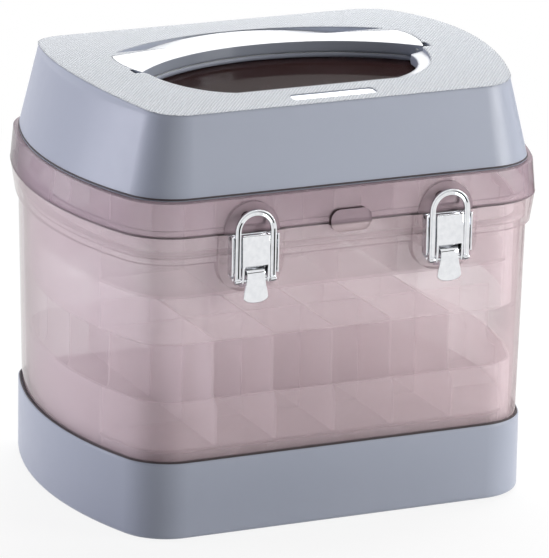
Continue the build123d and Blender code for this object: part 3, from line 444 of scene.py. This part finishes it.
# a box primitive between two corners given in millimetres, left in edit mode
def startBox(name, low, high):
    low, high = Vector(low) / 1000, Vector(high) / 1000
    bpy.ops.object.select_all(action="DESELECT")
    bpy.ops.mesh.primitive_cube_add(size=1.0, location=(low + high) / 2)
    piece = bpy.context.object
    piece.name = name
    piece.scale = high - low
    bpy.ops.object.transform_apply(location=True, rotation=True, scale=True)
    bpy.ops.object.mode_set(mode="EDIT")
    return piece


def cutAcross(point, normal, drop=False):
    bpy.ops.mesh.select_all(action="SELECT")
    bpy.ops.mesh.bisect(plane_co=Vector(point) / 1000, plane_no=normal, use_fill=drop, clear_outer=drop)


def pickFaces(test):
    bpy.ops.mesh.select_all(action="DESELECT")
    bpy.ops.mesh.select_mode(type="FACE")
    data = bpy.context.object.data
    shape = bmesh.from_edit_mesh(data)
    for face in shape.faces:
        face.select_set(test(face.calc_center_median() * 1000, face.normal))
    bmesh.update_edit_mesh(data)


def pickPoints(test):
    bpy.ops.mesh.select_all(action="DESELECT")
    bpy.ops.mesh.select_mode(type="VERT")
    data = bpy.context.object.data
    shape = bmesh.from_edit_mesh(data)
    for vert in shape.verts:
        vert.select_set(test(vert.co * 1000))
    shape.select_flush(True)
    bmesh.update_edit_mesh(data)


def pull(x, y, z):
    bpy.ops.mesh.extrude_region_move(TRANSFORM_OT_translate={"value": Vector((x, y, z)) / 1000})


# leaves edit mode with clean normals, rounds the edges and gives the finish
def finishSheet(material, rounding, wall=None):
    bpy.ops.mesh.select_all(action="SELECT")
    bpy.ops.mesh.remove_doubles(threshold=0.000005)
    bpy.ops.mesh.normals_make_consistent(inside=False)
    bpy.ops.object.mode_set(mode="OBJECT")
    piece = bpy.context.object
    if wall:
        solid = piece.modifiers.new("wall", "SOLIDIFY")
        solid.thickness = wall / 1000
        solid.offset = 0.0
        bpy.ops.object.modifier_apply(modifier=solid.name)
    bevel = piece.modifiers.new("rounding", "BEVEL")
    bevel.width = rounding / 1000
    bevel.segments = 3
    bevel.limit_method = "ANGLE"
    bevel.angle_limit = math.radians(35)
    bpy.ops.object.modifier_apply(modifier=bevel.name)
    bpy.ops.object.shade_smooth_by_angle(angle=math.radians(40))
    piece.data.materials.append(material)
    return piece


def joinPieces(pieces):
    bpy.ops.object.select_all(action="DESELECT")
    for piece in pieces:
        piece.select_set(True)
    bpy.context.view_layer.objects.active = pieces[0]
    bpy.ops.object.join()
    return pieces[0]


# the plate is a sheet with the corners of its foot cut off in two slopes, and a cheek that stands forward
# along each side
plate = {"back": -100.6, "sheet": 0.8, "foot": 137.0, "top": 165.4, "half": 13.2, "cheekFoot": 144.6,
         "cheekReach": 4.5, "cornerIn": 2.6, "cornerZ": 140.6, "steep": (0.832, -0.555),
         "flat": (0.616, -0.787), "rounding": 0.25}


def buildPlate(side, middle, metal):
    p = plate
    front = p["back"] - p["sheet"]
    piece = startBox("latchPlate" + side, (middle - p["half"], front, p["foot"]),
                     (middle + p["half"], p["back"], p["top"]))
    for hand in (-1, 1):
        corner = (middle + hand * (p["half"] - p["cornerIn"]), 0, p["cornerZ"])
        for across, down in (p["steep"], p["flat"]):
            cutAcross(corner, (hand * across, 0, down), drop=True)
        cutAcross((middle + hand * (p["half"] - p["sheet"]), 0, 0), (1, 0, 0))
    cutAcross((0, 0, p["cheekFoot"]), (0, 0, 1))
    pickFaces(lambda spot, normal: normal.y < -0.9 and spot.z > p["cheekFoot"]
              and abs(spot.x - middle) > p["half"] - p["sheet"])
    pull(0, -p["cheekReach"], 0)
    piece = finishSheet(metal, p["rounding"])
    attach(piece, "case")
    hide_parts("latch_plate_" + side.lower())


# the loop is a flat bar with a groove down its face, bent round an arc, with an eye at each foot
loop = {"leg": 9.9, "half": 1.55, "front": -106.5, "deep": 1.8, "foot": 141.4, "arcZ": 167.6, "ridge": 0.75,
        "groove": 0.7, "grooveDeep": 0.55, "eye": 1.75, "eyeY": -105.6, "eyeZ": 141.5,
        "eyeRim": 0.7, "eyeSunk": 0.2, "rounding": 0.3, "eyeRounding": 0.2}


def buildLoop(side, middle, metal):
    p = loop
    name = "latchLoop" + side
    piece = startBox(name, (middle - p["leg"] - p["half"], p["front"], p["foot"]),
                     (middle - p["leg"] + p["half"], p["front"] + p["deep"], p["foot"] + 1.0))
    pickFaces(lambda spot, normal: normal.z > 0.9)
    bpy.ops.mesh.delete(type="ONLY_FACE")
    pickPoints(lambda spot: spot.z > p["foot"] + 0.5)
    bpy.ops.transform.translate(value=(0, 0, (p["arcZ"] - p["foot"] - 1.0) / 1000))
    bpy.ops.mesh.spin(steps=40, angle=-math.pi, center=(middle / 1000, p["front"] / 1000, p["arcZ"] / 1000),
                      axis=(0, 1, 0))
    pickPoints(lambda spot: abs(spot.z - p["arcZ"]) < 0.01 and spot.x > middle)
    pull(0, 0, p["foot"] - p["arcZ"])
    bpy.ops.mesh.edge_face_add()
    bpy.ops.mesh.select_all(action="SELECT")
    bpy.ops.mesh.normals_make_consistent(inside=False)
    pickFaces(lambda spot, normal: normal.y < -0.9)
    bpy.ops.mesh.inset(thickness=p["ridge"] / 1000)
    bpy.ops.mesh.inset(thickness=p["groove"] / 1000, depth=-p["grooveDeep"] / 1000)
    piece = finishSheet(metal, p["rounding"])
    eyes = []
    for hand in (-1, 1):
        bpy.ops.object.select_all(action="DESELECT")
        bpy.ops.mesh.primitive_cylinder_add(
            vertices=32, radius=p["eye"] / 1000, depth=2 * p["half"] / 1000,
            location=Vector((middle + hand * p["leg"], p["eyeY"], p["eyeZ"])) / 1000,
            rotation=(0, math.pi / 2, 0))
        bpy.ops.object.transform_apply(location=True, rotation=True, scale=True)
        bpy.ops.object.mode_set(mode="EDIT")
        pickFaces(lambda spot, normal: abs(normal.x) > 0.9)
        bpy.ops.mesh.inset(thickness=p["eyeRim"] / 1000, depth=-p["eyeSunk"] / 1000)
        eyes.append(finishSheet(metal, p["eyeRounding"]))
    piece = joinPieces([piece] + eyes)
    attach(piece, "loop_" + side.lower())
    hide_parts("latch_loop_" + side.lower())


# the thumb end leaves the lever behind its lower edge and flares to a round end; each row of it is how far
# forward it lies, how high, and half its width
lever = {"half": 7.7, "front": -107.5, "sheet": 1.1, "foot": 149.4, "top": 165.2, "cheek": 1.2,
         "cheekBack": -102.4, "legFoot": 139.9, "legCut": 147.0, "legSlope": (0.80, -0.60), "legSet": 0.6,
         "topSet": 0.7, "rounding": 0.35, "tip": 6.6, "thumbWall": 0.9, "thumbRounding": 0.25,
         "rows": [(-104.4, 151.5, 5.1), (-104.4, 148.9, 5.1), (-104.7, 147.9, 5.1), (-105.7, 147.0, 5.1),
                  (-106.6, 146.2, 5.1), (-106.9, 144.9, 5.1), (-106.9, 142.0, 5.2), (-106.8, 138.8, 5.7),
                  (-106.8, 135.8, 6.5), (-106.9, 132.8, 6.9), (-107.0, 129.7, 6.9)]}


def buildThumb(name, middle, metal):
    p = lever
    bpy.ops.object.select_all(action="DESELECT")
    bpy.ops.mesh.primitive_plane_add(size=1.0)
    piece = bpy.context.object
    piece.name = name
    bpy.ops.object.mode_set(mode="EDIT")
    pickPoints(lambda spot: spot.y > 0)
    bpy.ops.mesh.delete(type="VERT")
    bpy.ops.mesh.select_all(action="SELECT")
    y, z, half = p["rows"][0]
    bpy.ops.transform.resize(value=(2 * half / 1000, 0, 0))
    bpy.ops.transform.translate(value=Vector((middle, y + 500, z)) / 1000)
    shape = bmesh.from_edit_mesh(piece.data)
    for vert in shape.verts:
        vert.co.y = y / 1000
    bmesh.update_edit_mesh(piece.data)
    for before, after in zip(p["rows"], p["rows"][1:]):
        bpy.ops.mesh.extrude_edges_move(
            TRANSFORM_OT_translate={"value": (0, (after[0] - before[0]) / 1000, (after[1] - before[1]) / 1000)})
        bpy.ops.transform.resize(value=(after[2] / before[2], 1, 1),
                                 center_override=Vector((middle, after[0], after[1])) / 1000)
    bpy.ops.mesh.select_mode(type="VERT")
    bpy.ops.mesh.bevel(offset=p["tip"] / 1000, segments=10, affect="VERTICES")
    return finishSheet(metal, p["thumbRounding"], wall=p["thumbWall"])


def buildLever(side, middle, metal):
    p = lever
    name = "latchLever" + side
    piece = startBox(name, (middle - p["half"], p["front"], p["foot"]),
                     (middle + p["half"], p["front"] + p["sheet"], p["top"]))
    for hand in (-1, 1):
        cutAcross((middle + hand * (p["half"] - p["cheek"]), 0, 0), (1, 0, 0))
    pickFaces(lambda spot, normal: normal.z < -0.9 and abs(spot.x - middle) > p["half"] - p["cheek"])
    pull(0, 0, p["legFoot"] - p["foot"])
    pickFaces(lambda spot, normal: normal.y > 0.9 and abs(spot.x - middle) > p["half"] - p["cheek"])
    pull(0, p["cheekBack"] - p["front"] - p["sheet"], 0)
    cutAcross((0, p["cheekBack"], p["legCut"]), (0, *p["legSlope"]), drop=True)
    pickPoints(lambda spot: spot.y < p["front"] + 0.05 and spot.z < p["foot"] - 0.05)
    bpy.ops.transform.translate(value=(0, p["legSet"] / 1000, 0))
    pickPoints(lambda spot: spot.y < p["front"] + 0.05 and spot.z > p["top"] - 0.05)
    bpy.ops.transform.translate(value=(0, p["topSet"] / 1000, 0))
    piece = finishSheet(metal, p["rounding"])
    piece = joinPieces([piece, buildThumb(name + "Thumb", middle, metal)])
    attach(piece, "lever_" + side.lower())
    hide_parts("latch_lever_" + side.lower())


# each shadow line is a dark round bead laid along the outline of the piece that it follows: a painted shadow
# for the shadow gap under the cover and the dark line where lid meets body, and a painted dark edge for the
# body's refracted lower edge on the base
shadowLines = {"coverShadowLine": {"follows": "lid_cover", "level": 184.9, "thick": 0.55, "inset": 0.2, "body": "lid"},
         "rimShadowLine": {"follows": "body_shell", "level": 165.6, "thick": 0.5, "inset": 0.55, "body": "case"},
         "baseShadowLine": {"follows": "base_shell", "level": 42.7, "thick": 0.6, "inset": 0.7, "body": "case"}}


def buildShadowLine(name, darkLine, shadowMaterial):
    bpy.ops.object.select_all(action="DESELECT")
    piece = bpy.data.objects.new(name, nodes[darkLine["follows"]].data.copy())
    piece.data.materials.clear()
    scene.collection.objects.link(piece)
    piece.select_set(True)
    bpy.context.view_layer.objects.active = piece
    bpy.ops.object.mode_set(mode="EDIT")
    bpy.ops.mesh.select_all(action="SELECT")
    bpy.ops.mesh.remove_doubles(threshold=0.00001)
    bpy.ops.mesh.bisect(plane_co=(0, 0, darkLine["level"] / 1000), plane_no=(0, 0, 1), clear_inner=True,
                        clear_outer=True)
    shape = bmesh.from_edit_mesh(piece.data)
    widest = max(vert.co.x for vert in shape.verts) * 1000 - 0.001
    pickPoints(lambda spot: spot.x > widest)
    bpy.ops.mesh.select_linked()
    bpy.ops.mesh.select_all(action="INVERT")
    bpy.ops.mesh.delete(type="VERT")
    bpy.ops.mesh.select_all(action="SELECT")
    deepest = max(vert.co.y for vert in bmesh.from_edit_mesh(piece.data).verts) * 1000
    bpy.ops.transform.resize(value=(1 - darkLine["inset"] / widest, 1 - darkLine["inset"] / deepest, 1),
                             center_override=(0, 0, 0))
    bpy.ops.object.mode_set(mode="OBJECT")
    bpy.ops.object.convert(target="CURVE")
    piece = bpy.context.object
    piece.data.bevel_depth = darkLine["thick"] / 1000
    piece.data.bevel_resolution = 3
    bpy.ops.object.convert(target="MESH")
    piece = bpy.context.object
    bpy.ops.object.mode_set(mode="EDIT")
    bpy.ops.mesh.select_all(action="SELECT")
    bpy.ops.mesh.normals_make_consistent(inside=False)
    bpy.ops.object.mode_set(mode="OBJECT")
    bpy.ops.object.shade_smooth()
    piece.data.materials.clear()
    piece.data.materials.append(shadowMaterial)
    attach(piece, darkLine["body"])


aimCamera(view)
buildStage()
print("camera, floor and lights ready")

chrome = chromePlate()
dressNodes(mouldedAbs(), "base_shell")
dressNodes(beadedAbs(), "lid_cover")
dressNodes(smokyStyrene("smokyStyrene", bodySmoke), "body_shell")
dressNodes(smokyStyrene("smokyStyreneLid", lidSmoke), "lid_shell")
dressNodes(frostedPolypropylene(), "lower_tray", "upper_tray", "lower_long_dividers", "lower_cross_dividers",
           "upper_long_dividers", "upper_cross_dividers")
dressNodes(pearlLacquer(), "handle")
dressNodes(brushedAluminium(), "name_plate")
dressNodes(zincSteel(), "base_screws", "cover_screws", "hinge_pin_left", "hinge_pin_right", "handle_pin_left",
           "handle_pin_right")
dressNodes(chrome, "latch_rivets_left", "latch_rivets_right", "lever_pin_left", "lever_pin_right",
           "loop_pin_left", "loop_pin_right")
dressNodes(mouldedRubberAndShadowLine("footRubber", "1D1D1F", "29292C"), "foot_front_left", "foot_front_right",
           "foot_rear_left", "foot_rear_right")
print("materials on the carried-over nodes")

latchX = {"Left": -55.0, "Right": 55.0}
for side, middle in latchX.items():
    buildPlate(side, middle, chrome)
    buildLoop(side, middle, chrome)
    buildLever(side, middle, chrome)
print("latches built")

# near black stuff of the painted shadow lines
shadowLineDark = mouldedRubberAndShadowLine("shadowLineDark", "2A2225", "3A3034")
for name, darkLine in shadowLines.items():
    buildShadowLine(name, darkLine, shadowLineDark)
print("seals laid")
